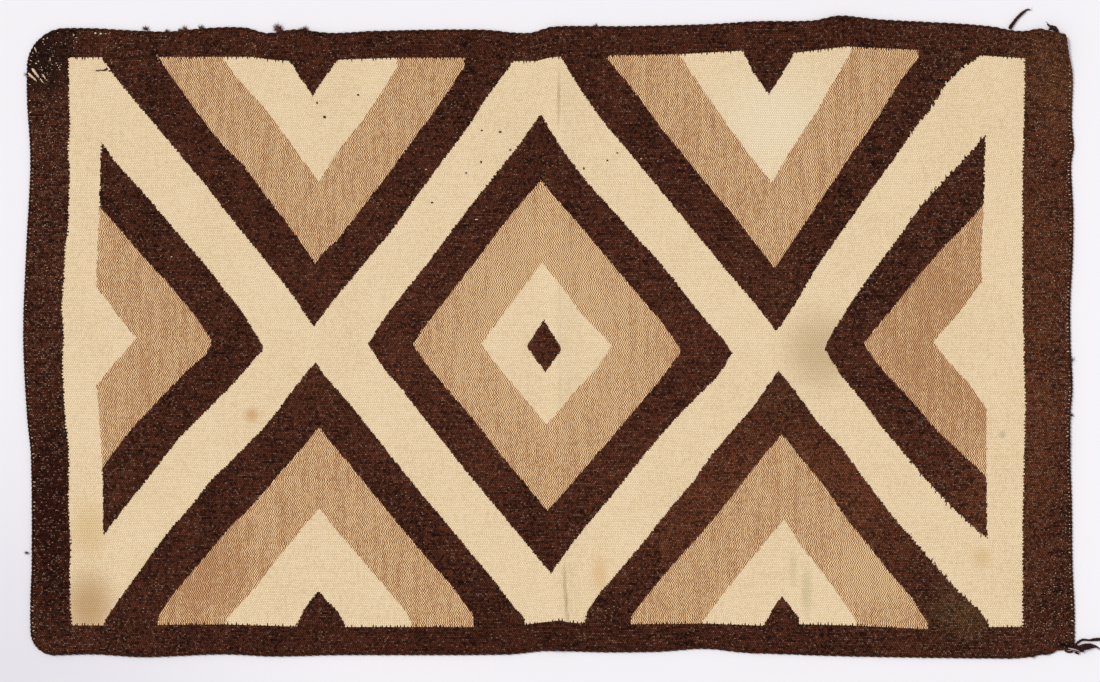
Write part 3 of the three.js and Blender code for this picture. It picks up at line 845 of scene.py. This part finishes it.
class Yarns:
    # gathers tubes into one mesh, with each point's distance along its yarn and share of a turn round it
    def __init__(self):
        self.points = []
        self.faces = []
        self.marks = []
        self.count = 0

    def tube(self, route, radii, sides, seed=0.0, pale=0.0):
        route = np.asarray(route, float)
        along = np.gradient(route, axis=0)
        along /= np.linalg.norm(along, axis=1, keepdims=True) + 1e-9
        up = np.array([0, 0, 1.0]) - along * along[:, 2:3]
        steep = np.linalg.norm(up, axis=1) < 0.2
        up[steep] = np.array([1.0, 0, 0]) - along[steep] * along[steep, 0:1]
        up /= np.linalg.norm(up, axis=1, keepdims=True)
        side = np.cross(along, up)
        turn = np.arange(sides) / sides
        cosines = np.cos(2 * np.pi * turn)[None, :, None]
        sines = np.sin(2 * np.pi * turn)[None, :, None]
        around = cosines * side[:, None] + sines * up[:, None]
        rings = route[:, None] + around * np.reshape(radii, (-1, 1, 1))
        distance = distances(route)
        fold = np.abs(turn * 2 - 1)  # meets itself on the far side
        mark = np.stack(np.broadcast_arrays(distance[:, None] + seed, fold[None, :], pale), -1)
        index = self.count + np.arange(len(route) * sides).reshape(-1, sides)
        after = np.roll(index, -1, axis=1)
        self.faces += np.stack([index[:-1], after[:-1], after[1:], index[1:]], -1).reshape(-1, 4).tolist()
        self.faces += [index[0][::-1].tolist(), index[-1].tolist()]
        self.points.append(rings.reshape(-1, 3))
        self.marks.append(mark.reshape(-1, 3))
        self.count += index.size

    def twisted(self, route, radii, pitch, plies=2, sides=6, seed=0, plyShare=0.56, pale=0.0):
        # plies wound round each other within the given radii
        rng = random.Random(seed)
        route = np.asarray(route, float)
        distance = distances(route)
        along = np.gradient(route, axis=0)
        along[:, 2] = 0
        along /= np.linalg.norm(along, axis=1, keepdims=True) + 1e-9
        side = np.stack([along[:, 1], -along[:, 0], 0 * along[:, 0]], -1)
        radii = np.broadcast_to(radii, len(route))
        lag = rng.uniform(0, 6.3)
        turns = distance / pitch
        uneven = 0.35 * np.sin(turns * 1.7 + lag) + 0.25 * np.sin(turns * 0.61 + 2 * lag)
        for ply in range(plies):
            angle = 2 * np.pi * (turns + ply / plies) + uneven
            offset = radii * (1 - plyShare)
            centre = route + side * (offset * np.cos(angle))[:, None]
            centre[:, 2] += offset * np.sin(angle)
            swell = 1 + 0.07 * np.sin(distance / 9.0 + ply * 2 + lag) + 0.04 * np.sin(distance / 3.1 + ply)
            self.tube(centre, radii * plyShare * swell, sides, rng.uniform(0, 500), pale)

    def fibre(self, start, heading, length, radius, rng, rise=0.4, pale=0.0):
        # a stray hair that leaves in one direction and wanders
        bend = rng.uniform(-1.2, 1.2)
        steps = 5
        at = np.array(start, float)
        route = [at.copy()]
        for k in range(steps):
            heading += bend / steps + rng.uniform(-0.25, 0.25)
            climb = rise * (1 - 1.6 * k / steps)
            at = at + length / steps * np.array([math.cos(heading), math.sin(heading), climb])
            at[2] = max(at[2], radius)
            route.append(at.copy())
        self.tube(route, radius * np.array([1, 1, 0.9, 0.8, 0.6, 0.3]), 3, rng.uniform(0, 500), pale)

    def made(self, name, finish):
        points = np.concatenate(self.points)
        framePoints = toFrame(points[:, 0], points[:, 1], points[:, 2])
        return makePiece(name, framePoints, self.faces, finish, {"yarn": np.concatenate(self.marks)})


cord = {
    "radius": 2.15,
    "inset": 2.15,  # of its middle from the rug's outermost line
    "endPitch": 11.4,
    "sidePitch": 22.0,
    "stepsPerTurn": 12,
}


def edgeRoute(edge, step, inset):
    # the middle line of an edge, anticlockwise, in millimetres from the rug's middle
    halfLength, halfWidth = outline["halfLength"], outline["halfWidth"]
    if edge in ("top", "bottom"):
        x = np.linspace(-halfLength, halfLength, 3001)
        y = np.full_like(x, halfWidth if edge == "top" else -halfWidth)
    else:
        y = np.linspace(-halfWidth, halfWidth, 1801)
        x = np.full_like(y, halfLength if edge == "right" else -halfLength)
    if edge in ("top", "left"):
        x, y = x[::-1], y[::-1]
    px, py = rugPoint(x, y, inset)
    flat = respaced(np.stack([px, py, 0 * px], -1), step)
    flat[:, 2] = liftAt(flat[:, 0], flat[:, 1])
    return flat


cords = []
for edge, node, pitch in (
    ("left", "end_cord_left", cord["endPitch"]),
    ("right", "end_cord_right", cord["endPitch"]),
    ("top", "side_cord_top", cord["sidePitch"]),
    ("bottom", "side_cord_bottom", cord["sidePitch"]),
):
    route = edgeRoute(edge, pitch / cord["stepsPerTurn"], cord["inset"])
    route[:, 2] += cord["radius"]
    yarns = Yarns()
    share = 0.5 if "end" in node else 0.56
    yarns.twisted(route, cord["radius"] * 1.08, pitch, seed=len(cords) + 1, plyShare=share)
    piece = yarns.made("cord" + edge.capitalize(), cordWool)
    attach(piece, "root")
    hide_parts(node)
    cords.append(piece)


# The warps' loops, which show pale between the turns of the end cords
warpLoops = {
    "pitch": 5.8,
    "length": 4.4,
    "radius": 0.7,
    "inset": 4.0,
}


def buildLoops(edge, share, highest, seed):
    rng = random.Random(seed)
    route = edgeRoute(edge, warpLoops["pitch"], warpLoops["inset"])
    yarns = Yarns()
    for here, there in zip(route[3:-3], route[4:-2]):
        if rng.random() > share or here[1] > highest:
            continue
        way = (there - here) / np.linalg.norm(there - here)
        outward = np.array([way[1], -way[0], 0])
        middle = (here + there) / 2 + outward * rng.uniform(-0.6, 0.6)
        half = warpLoops["length"] / 2 * rng.uniform(0.4, 1.1)
        radius = warpLoops["radius"] * rng.uniform(0.5, 1.25)
        arc = np.linspace(-1, 1, 5)
        loop = middle + (outward + way * rng.uniform(-0.5, 0.5)) * (arc * half)[:, None]
        loop[:, 2] += 2 * cord["radius"] - 0.75 - 0.9 * arc**2 + rng.uniform(-0.45, 0.1)
        swell = radius * np.array([0.45, 0.9, 1, 0.9, 0.45])
        yarns.tube(loop, swell, 6, rng.uniform(0, 500), rng.uniform(0.1, 0.95))
    piece = yarns.made("warpLoops" + edge.capitalize(), warpWool)
    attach(piece, "root")
    return piece


loops = [buildLoops("left", 0.55, 440, 31), buildLoops("right", 0.8, 395, 32)]


# Loose yarn, with the same places as in the part's source: (x, y, half width)
tie = {
    "knot": (761.8, -448.6, 5.6, 5.0, 6.4),
    "strands": [
        [(761.4, -445.5, 1.3), (762.6, -441.2, 1.3), (766, -437.6, 1.5), (771, -435, 1.5),
         (776, -434.6, 1.4), (781, -435.4, 1.2), (789, -434.4, 1.9), (798, -434, 1.8), (806, -435.5, 1.2),
         (812, -438, 0.6)],
        [(759, -446.8, 3), (766, -446.2, 3.3), (773, -445, 4.1), (780, -443.9, 3.6), (788, -444, 2.1),
         (794, -445.6, 0.9), (797, -448.6, 0.5)],
        [(764, -447.5, 2.6), (768.5, -448.4, 2.9), (771.5, -449.8, 2.4), (773, -451.8, 1.1)],
        [(760.5, -450, 1.5), (762.5, -453.6, 1.2), (766.5, -455.2, 0.7)],
        [(759.5, -450.5, 1.4), (753, -452.6, 1.3), (746, -450.8, 0.9)],
    ],
    "hairs": (26, 26, 8, 8, 8),
    # fine pale ones that have worked loose over the knot, with each point's height
    "paleStrands": [
        [(750.5, -446.4, 3.8, 0.5), (756, -447.4, 5.6, 0.8), (762, -449, 7, 0.8), (767, -451, 5, 0.4)],
        [(757, -450.6, 3.4, 0.4), (763, -451.8, 3.6, 0.6), (768, -452.4, 2.4, 0.3)],
    ],
}
topLooseEnd = [
    [(666.2, 451.6, 2.2), (671.5, 459.5, 2.1), (678, 467.5, 1.9), (685.5, 474.5, 1.7), (691.5, 478.6, 1),
     (696, 478.6, 0.6)],
]
cornerTuft = [
    [(720.5, 457.5, 0.5), (724.5, 454.8, 1.2), (729, 453.2, 2.2), (733, 450.5, 2.4), (735.5, 446.5, 1.8),
     (736.5, 443.2, 0.9)],
    [(721.5, 449.5, 1.1), (726.5, 450.2, 2), (731.5, 448.8, 2.1), (734.5, 445.2, 1.2)],
    [(717.5, 461, 0.4), (721.5, 456.5, 0.5), (725.5, 452.5, 0.7)],
]


def layStrand(yarns, rows, pitch, seed, hairs, lift=0):
    # a two-ply strand, hairy all along and more so towards its end
    rng = random.Random(seed)
    table = smoothRoute(rows, 0.7)
    halves = np.maximum(table[:, 2], 0.35)
    route = np.stack([table[:, 0], table[:, 1], halves + lift], -1)
    yarns.twisted(route, halves * 1.28, pitch, seed=seed, plyShare=0.74)
    for k in range(hairs):
        i = rng.randrange(len(route))
        i = max(i, rng.randrange(len(route)))
        heading = math.atan2(*(route[min(i + 1, len(route) - 1)] - route[max(i - 1, 0)])[[1, 0]])
        start = route[i] + np.array([0, 0, rng.uniform(0, 0.6) * halves[i]])
        radius = rng.uniform(0.12, 0.26)
        heading += rng.gauss(0, 0.7)
        yarns.fibre(start, heading, rng.uniform(2, 6), radius, rng, 0.2, rng.uniform(0, 0.35))


def buildTie():
    yarns = Yarns()
    x, y, reachX, reachY, height = tie["knot"]
    t = np.linspace(0, 2 * np.pi, 90)
    radius = 1.35
    knot = np.stack(
        [
            x + (reachX - radius) * (np.sin(t) + 2 * np.sin(2 * t)) / 3,
            y + (reachY - radius) * (np.cos(t) - 2 * np.cos(2 * t)) / 3,
            height / 2 + (height / 2 - radius) * -np.sin(3 * t),
        ],
        -1,
    )
    yarns.twisted(knot, radius, 7, seed=3)
    yarns.tube([(x, y, 1.5), (x + 0.5, y + 0.3, 2.5), (x, y, 4)], [2.2, 2.6, 1.5], 8)
    for k, rows in enumerate(tie["strands"]):
        layStrand(yarns, rows, 8, 40 + k, tie["hairs"][k])
    for rows in tie["paleStrands"]:
        table = smoothRoute(rows, 0.7)
        yarns.tube(table[:, :3], table[:, 3], 6, 3.0, 0.7)
    return yarns.made("cornerTie", looseWool)


def buildLoose(name, strands, seed, hairs):
    # the strands after the first lie over the rug's edge
    yarns = Yarns()
    for k, rows in enumerate(strands):
        layStrand(yarns, rows, 9, seed + 7 * k, hairs, 6.5 * min(k, 1))
    return yarns.made(name, looseWool)


loose = [
    (buildTie(), "corner_tie_lower_right"),
    (buildLoose("looseEnd", topLooseEnd, 51, 30), "loose_end_top"),
    (buildLoose("cornerTuft", cornerTuft, 52, 12), "corner_tuft_top_right"),
]
for piece, node in loose:
    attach(piece, "root")
    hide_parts(node)


# Stray hairs round the edges, and tufts where the cord has frayed: (x, y, lean in degrees, hairs, length)
fuzz = {
    "spacing": 3.4,
    "length": (1.2, 3.6),
    "radius": (0.08, 0.15),
    "tuftRadius": (0.16, 0.34),
    "lockRadius": (0.4, 0.85),
    "tufts": [
        (-392, 447, 127, 80, 13), (-390, 447.5, 112, 40, 8), (-355.5, 447.5, 88, 36, 8.5),
        (-362, 447.5, 60, 30, 6.5), (-526, 448, 150, 50, 9), (-536, 448, 112, 26, 5),
        (-504.5, 449.5, 104, 40, 8), (-585, 449.5, 126, 34, 7), (-555, 447, 100, 26, 4),
        (65.5, 453, 90, 22, 6), (754, -29, 0, 22, 6), (753.5, -109, 0, 22, 6), (-757, -308, 200, 18, 5),
        (-748, 418, 140, 22, 4), (-757, 384, 175, 22, 5), (700, -455, 268, 60, 6),
        (709, -453.5, 262, 36, 4), (719, -451.5, 296, 60, 5.5),
    ],
}


def buildFuzz():
    rng = random.Random(77)
    yarns = Yarns()
    for edge in ("left", "right", "top", "bottom"):
        route = edgeRoute(edge, fuzz["spacing"], 0.6)
        for here, there in zip(route, route[1:]):
            if rng.random() > 0.8:
                continue
            outward = math.atan2(here[0] - there[0], there[1] - here[1])
            start = here + (there - here) * rng.random() + np.array([0, 0, rng.uniform(0.8, 3.4)])
            heading = outward + rng.gauss(0, 0.9)
            yarns.fibre(start, heading, rng.uniform(*fuzz["length"]), rng.uniform(*fuzz["radius"]), rng)
    for x, y, lean, hairs, length in fuzz["tufts"]:
        for _ in range(hairs):
            start = np.array([x + rng.gauss(0, 1.3), y + rng.uniform(-1, 1), rng.uniform(1, 3.5)])
            heading = math.radians(lean) + rng.gauss(0, 0.28)
            reach = length * rng.uniform(0.4, 1.1)
            yarns.fibre(start, heading, reach, rng.uniform(*fuzz["tuftRadius"]), rng, 0.1, rng.uniform(0, 0.3))
        for _ in range(hairs // 6):
            start = np.array([x + rng.gauss(0, 1.6), y + rng.uniform(-1.5, 0.5), rng.uniform(1, 3)])
            heading = math.radians(lean) + rng.gauss(0, 0.2)
            reach = length * rng.uniform(0.4, 0.85)
            yarns.fibre(start, heading, reach, rng.uniform(*fuzz["lockRadius"]), rng, 0.1, rng.uniform(0.1, 0.3))
    return yarns.made("edgeFuzz", cordWool)


edgeFuzz = buildFuzz()
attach(edgeFuzz, "root")


# The cream ends of warps that have come out at the worn corner: points (x, y, height) and radius
frayed = [
    ([(-750, 393, 3.6), (-747, 389, 5.2), (-743.5, 384.5, 5.2), (-740, 379.5, 3.8)], 2.1),
    ([(-756, 386.5, 3.4), (-750, 381, 4.8), (-743.5, 375, 3.5)], 1.7),
    ([(-735, 385, 3.3), (-732.5, 381, 4.3), (-730.5, 377.5, 3.3)], 1.0),
    ([(-738.5, 378.5, 3.3), (-736, 375, 4.3), (-733.5, 372, 3.3)], 0.9),
    ([(-747, 424, 3.4), (-745, 420, 4.6), (-744, 416.5, 3.4)], 0.9),
]
# Warps that show between the dark wefts
worn = {
    # by chance, in zones: (x, y, reach along x and y, how many)
    "zones": [
        (-724, 130, 21, 300, 380), (-724, -250, 20, 170, 70), (-750, -20, 4, 400, 130),
        (-722, 409, 4, 12, 14), (-712, 398, 5, 9, 12), (-686, 434, 5, 13, 9), (-738, 366, 15, 36, 40),
        (-424, 420, 22, 14, 22), (-26, 426, 28, 18, 18), (75, -396, 20, 22, 26),
        (728, 150, 24, 290, 190), (715, -380, 26, 60, 90), (748, 0, 1.2, 430, 90),
        (741, -60, 1.2, 370, 70), (730, 20, 1.2, 400, 60), (0, 0, 730, 440, 900),
    ],
    # one by one: (x, y, half length, radius, turn in degrees, paleness)
    "marks": [
        (-658.5, 444.5, 1.6, 1.5, 0, 1), (-650.8, 443.6, 1.8, 1.6, 0, 1),
        (-643.6, 443.6, 1.2, 0.9, 0, 0.6), (-638.6, 443.2, 1.1, 0.8, 0, 0.5),
        (-690, 441.6, 1.5, 1.0, 20, 0.9), (-685.7, 438, 0.9, 0.9, 0, 0.8),
        (-685.7, 431.7, 0.8, 0.8, 0, 0.8), (-690, 423, 0.8, 0.8, 0, 0.7),
        (-702.2, 428.8, 1.3, 0.7, 30, 0.4), (-713, 445, 1.3, 0.8, 0, 0.4),
        (-733.8, 435.8, 1.9, 0.9, 25, 0.9), (-728.2, 437.3, 1.0, 1.0, 70, 0.8),
        (-734.5, 431.6, 1.1, 0.9, 0, 0.7), (-741, 403.7, 1.2, 1.0, 130, 0.8),
        (-744.6, 400.5, 1.6, 1.1, 0, 1), (-724.2, 408, 0.9, 0.8, 110, 0.8),
        (-724.2, 404.8, 0.9, 0.9, 90, 0.9), (-715.3, 400.8, 1.1, 0.8, 120, 0.9),
        (-713.6, 397.7, 1.0, 0.8, 120, 0.9), (-711.7, 394.4, 1.0, 0.8, 120, 0.8),
        (-710.2, 391.5, 1.0, 0.8, 120, 0.8), (-736.8, 395, 1.2, 0.8, 110, 0.8),
        (-736, 390.7, 1.0, 0.8, 110, 0.7), (-729, 376.4, 1.0, 0.9, 0, 0.9),
        (-624, 423.6, 1.0, 0.9, 0, 0.5), (-628.8, 429.5, 0.9, 0.8, 0, 0.5),
        (-635, 401.5, 1.2, 0.9, 90, 0.5), (-569.5, 411.5, 1.9, 0.7, 110, 0.7),
        (-568, 407, 1.9, 0.7, 110, 0.8), (-566.4, 402.6, 1.9, 0.7, 112, 0.7),
        (-33.8, 173.1, 2.6, 1.5, 0, 1), (-106.4, 174.6, 3.6, 0.9, 0, 1),
        (-110.6, 199.8, 1.2, 1.1, 0, 0.9), (132.2, 262.6, 1.2, 1.1, 0, 0.9),
        (-179.5, 246.9, 1.2, 1.0, 0, 0.9), (-548.2, 120.4, 1.2, 1.0, 0, 0.9),
    ],
}
# Dark bits of wool on the cream: (x, y, half length, radius, turn in degrees)
darkBits = [
    (-655.8, 390, 2.2, 0.8, 0), (-651.3, 390.8, 1.3, 0.7, 8), (-647.9, 390.4, 1.3, 0.7, 0),
    (-644, 391.4, 2.4, 1.2, 20), (-642.6, 392.6, 1.4, 1.0, 60), (-637.3, 389.8, 1.8, 0.9, 0),
    (-326.7, 323, 0.9, 1.5, 0), (-337.6, 343.4, 0.8, 1.0, 90), (-278, 355, 0.8, 1.0, 0),
    (-72.2, 301.3, 1.1, 1.1, 0), (-99, 303.5, 0.8, 0.9, 0), (-100, 257.8, 1.1, 1.0, 90),
    (-121.5, 241.9, 0.8, 0.9, 0), (-171, 199, 1.0, 1.0, 0), (-57.7, 275.2, 1.0, 1.0, 0),
    (48.9, 248.4, 1.0, 1.0, 90), (97.4, 270.9, 0.8, 0.9, 0), (83, 260, 0.8, 0.9, 0),
]


def bandAt(x, y):
    # how deep a place lies in the figures: 0 cream, 1 dark, 2 tan, 3 cream, 4 dark
    def line(points):
        return np.interp(x, *np.array(points).T)

    depth = sum(y > line(points) for figure in chevronsAbove for points in figure)
    depth += sum(y < line(points) for figure in chevronsBelow for points in figure)
    for diamond in diamonds:
        depth += sum((y < line(upper)) and (y > line(lower)) for upper, lower in diamond["bands"])
    inBorder = not (-699 < x < 686 and -412 < y < 410)
    return 1 if inBorder else depth


def topOfCloth(x, y):
    return liftAt(x, y) + cloth["thickness"] + cloth["unevenness"] * waver(x, y, 23, 130)


def layBit(yarns, x, y, half, radius, turn, seed, pale=0.0):
    # a short rounded bit of yarn, sunk to its middle in the cloth
    way = np.array([math.cos(math.radians(turn)), math.sin(math.radians(turn)), 0])
    shares = np.array([-1, -0.55, 0.55, 1])
    middle = np.array([x, y, topOfCloth(x, y)])
    swell = radius * np.array([0.35, 1, 1, 0.35])
    yarns.tube(middle + way * (shares * (half + radius * 0.6))[:, None], swell, 5, seed, pale)


def buildWarps():
    rng = random.Random(91)
    yarns = Yarns()
    for rows, radius in frayed:
        route = smoothRoute(rows, 0.7)
        thin = np.interp(np.linspace(0, 1, len(route)), [0, 0.15, 0.8, 1], [0.6, 1, 0.9, 0.3])
        yarns.twisted(route, radius * thin, 9, seed=rng.randrange(999), plyShare=0.68, pale=0.85)
    for middle, side, reachX, reachY, howMany in worn["zones"]:
        for _ in range(howMany):
            x = middle + rng.uniform(-reachX, reachX)
            y = side + rng.uniform(-reachY, reachY)
            if bandAt(x, y) not in (1, 4) or abs(x) > 749 or abs(y) > 444:
                continue
            rib = round(y / warpPitch) * warpPitch + rng.uniform(-0.3, 0.3)
            layBit(
                yarns, x, rib, rng.uniform(0.1, 0.6), rng.uniform(0.3, 0.52), rng.uniform(-12, 12),
                rng.uniform(0, 500), rng.random() ** 1.5,
            )
    for x, y, half, radius, turn, pale in worn["marks"]:
        layBit(yarns, x, y, half * 0.5, radius * 0.8, turn, rng.uniform(0, 500), pale)
    return yarns.made("wornWarps", warpWool)


def buildBits():
    yarns = Yarns()
    for k, (x, y, half, radius, turn) in enumerate(darkBits):
        layBit(yarns, x, y, half, radius * 1.35, turn, 13.0 * k)
    return yarns.made("darkBits", cordWool)


wornWarps = buildWarps()
bits = buildBits()
for piece in (wornWarps, bits):
    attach(piece, "root")


# Floor, light and camera
studio = {
    "floorColour": wool(240, 237, 241),
    "paintedFloorShade": wool(224, 222, 228),  # painted shade towards the lower left
    "paintedFloorLight": wool(246, 243, 247),  # painted light towards the right
    "skyStrength": 0.66,
    "sunStrength": 1.7,
    "sunFrom": (-0.75, 0.45, 1.0),
    "sunAngle": 18,
    "cameraHeight": 3.6,
    "fieldWidth": 1.595,  # metres of floor across the picture
    "sensorWidth": 36,
    "floorHalf": 4.0,
    "skyColour": (0.97, 0.98, 1.0, 1),
    "sunColour": (1.0, 0.985, 0.965),
    "pictureMiddle": (-0.05, -1.6),  # in millimetres from the rug's middle
}


def buildFloor():
    f = Finish("paperFloor")
    place = f.node("TexCoord", output="Object")
    soft = f.noise(place, 0.5, 0.5, 2.0)
    # painted shade towards the lower left and painted light towards the right
    colour = f.mix(f.spot(place, -0.9, -0.62, 0.65, 0.65), studio["floorColour"], studio["paintedFloorShade"])
    colour = f.mix(f.spot(place, 1.1, 0, 0.6, 1.2), colour, studio["paintedFloorLight"])
    finish = f.done(colour, 0.7, soft * 0.02, mm, 0.0)
    half = studio["floorHalf"]
    mesh = bpy.data.meshes.new("floor")
    corners = [(-half, -half, 0), (half, -half, 0), (half, half, 0), (-half, half, 0)]
    mesh.from_pydata(corners, [], [(0, 1, 2, 3)])
    mesh.materials.append(finish)
    floor = bpy.data.objects.new("floor", mesh)
    bpy.context.scene.collection.objects.link(floor)
    return floor


buildFloor()

world = bpy.data.worlds.new("studio")
bpy.context.scene.world = world
world.use_nodes = True
sky = world.node_tree.nodes["Background"].inputs
sky["Color"].default_value = studio["skyColour"]
sky["Strength"].default_value = studio["skyStrength"]

keyLight = bpy.data.lights.new("keyLight", "SUN")
keyLight.energy = studio["sunStrength"]
keyLight.angle = math.radians(studio["sunAngle"])
keyLight.color = studio["sunColour"]
key = bpy.data.objects.new("keyLight", keyLight)
key.rotation_mode = "QUATERNION"
key.rotation_quaternion = Vector(studio["sunFrom"]).to_track_quat("Z", "Y")
key.location = Vector(studio["sunFrom"]) * 2
bpy.context.scene.collection.objects.link(key)

lens = bpy.data.cameras.new("camera")
lens.sensor_width = studio["sensorWidth"]
lens.lens = studio["sensorWidth"] * studio["cameraHeight"] / studio["fieldWidth"]
camera = bpy.data.objects.new("camera", lens)
camera.location = (
    (middleX + studio["pictureMiddle"][0]) * mm,
    (middleY + studio["pictureMiddle"][1]) * mm,
    studio["cameraHeight"],
)
bpy.context.scene.collection.objects.link(camera)
bpy.context.scene.camera = camera
bpy.context.scene.view_settings.view_transform = "Standard"

print("lights and camera")
